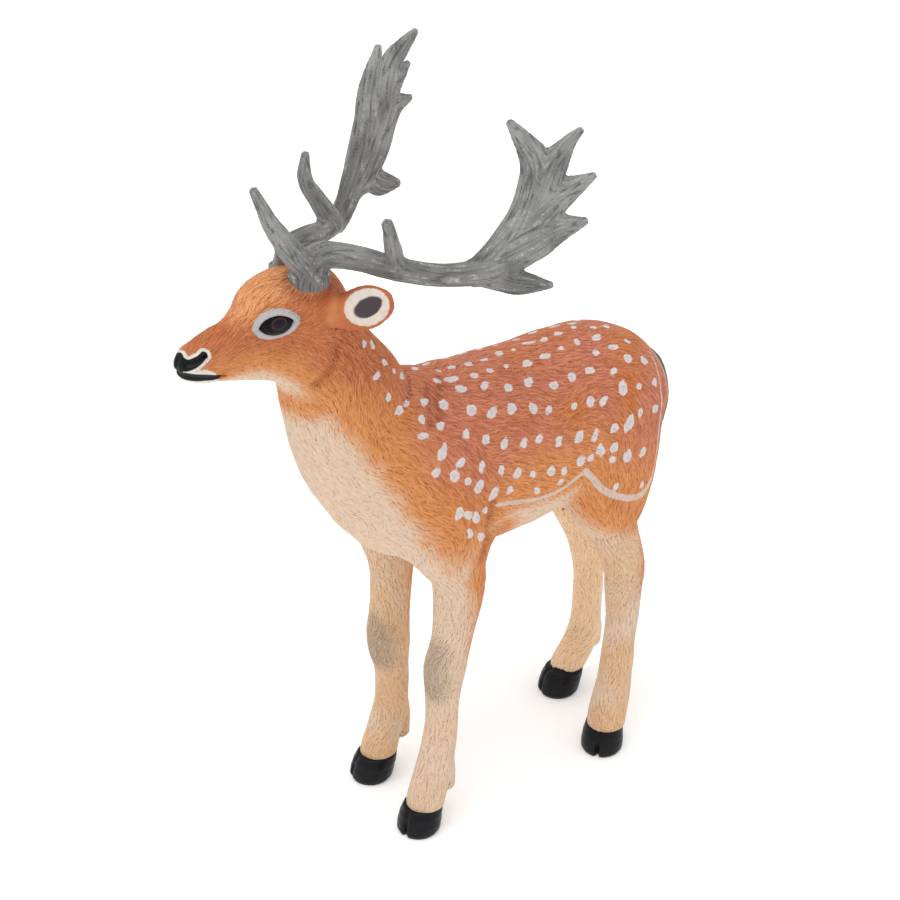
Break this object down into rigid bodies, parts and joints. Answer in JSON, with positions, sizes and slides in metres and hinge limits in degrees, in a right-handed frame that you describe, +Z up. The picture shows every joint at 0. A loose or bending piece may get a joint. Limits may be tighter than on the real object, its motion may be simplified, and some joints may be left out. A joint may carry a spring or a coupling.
{
  "type": "toy deer figurine",
  "caption": "Standing moulded plastic figurine of a fallow buck, head up, with flat palmate antlers, a white-spotted orange coat and black hooves.",
  "frame": {"origin": "on the floor under the middle of the bounding box, between the four hooves", "axes": "+Z up, the buck faces -Y, and its left side is +X"},
  "size_m": [0.0454, 0.0942, 0.1296],
  "materials": {
    "painted_coat": "hand-painted matt orange-brown with cream and off-white spots",
    "antler_paint": "mid grey, dry-brushed paler on the ridges",
    "hoof_enamel": "black, soft gloss",
    "eye_enamel": "dark brown, high gloss"
  },
  "bodies": {
    "root": {"trunk": "painted_coat", "neck": "painted_coat", "head": "painted_coat", "tail": "painted_coat", "ear_left": "painted_coat", "ear_right": "painted_coat", "leg_front_left": "painted_coat", "leg_front_right": "painted_coat", "leg_hind_left": "painted_coat", "leg_hind_right": "painted_coat", "hoof_front_left": "hoof_enamel", "hoof_front_right": "hoof_enamel", "hoof_hind_left": "hoof_enamel", "hoof_hind_right": "hoof_enamel", "eye_left": "eye_enamel", "eye_right": "eye_enamel", "antler_left_beam": "antler_paint", "antler_left_brow_tine": "antler_paint", "antler_left_trez_tine": "antler_paint", "antler_left_palm": "antler_paint", "antler_right_beam": "antler_paint", "antler_right_brow_tine": "antler_paint", "antler_right_trez_tine": "antler_paint", "antler_right_palm": "antler_paint"}
  },
  "joints": []
}
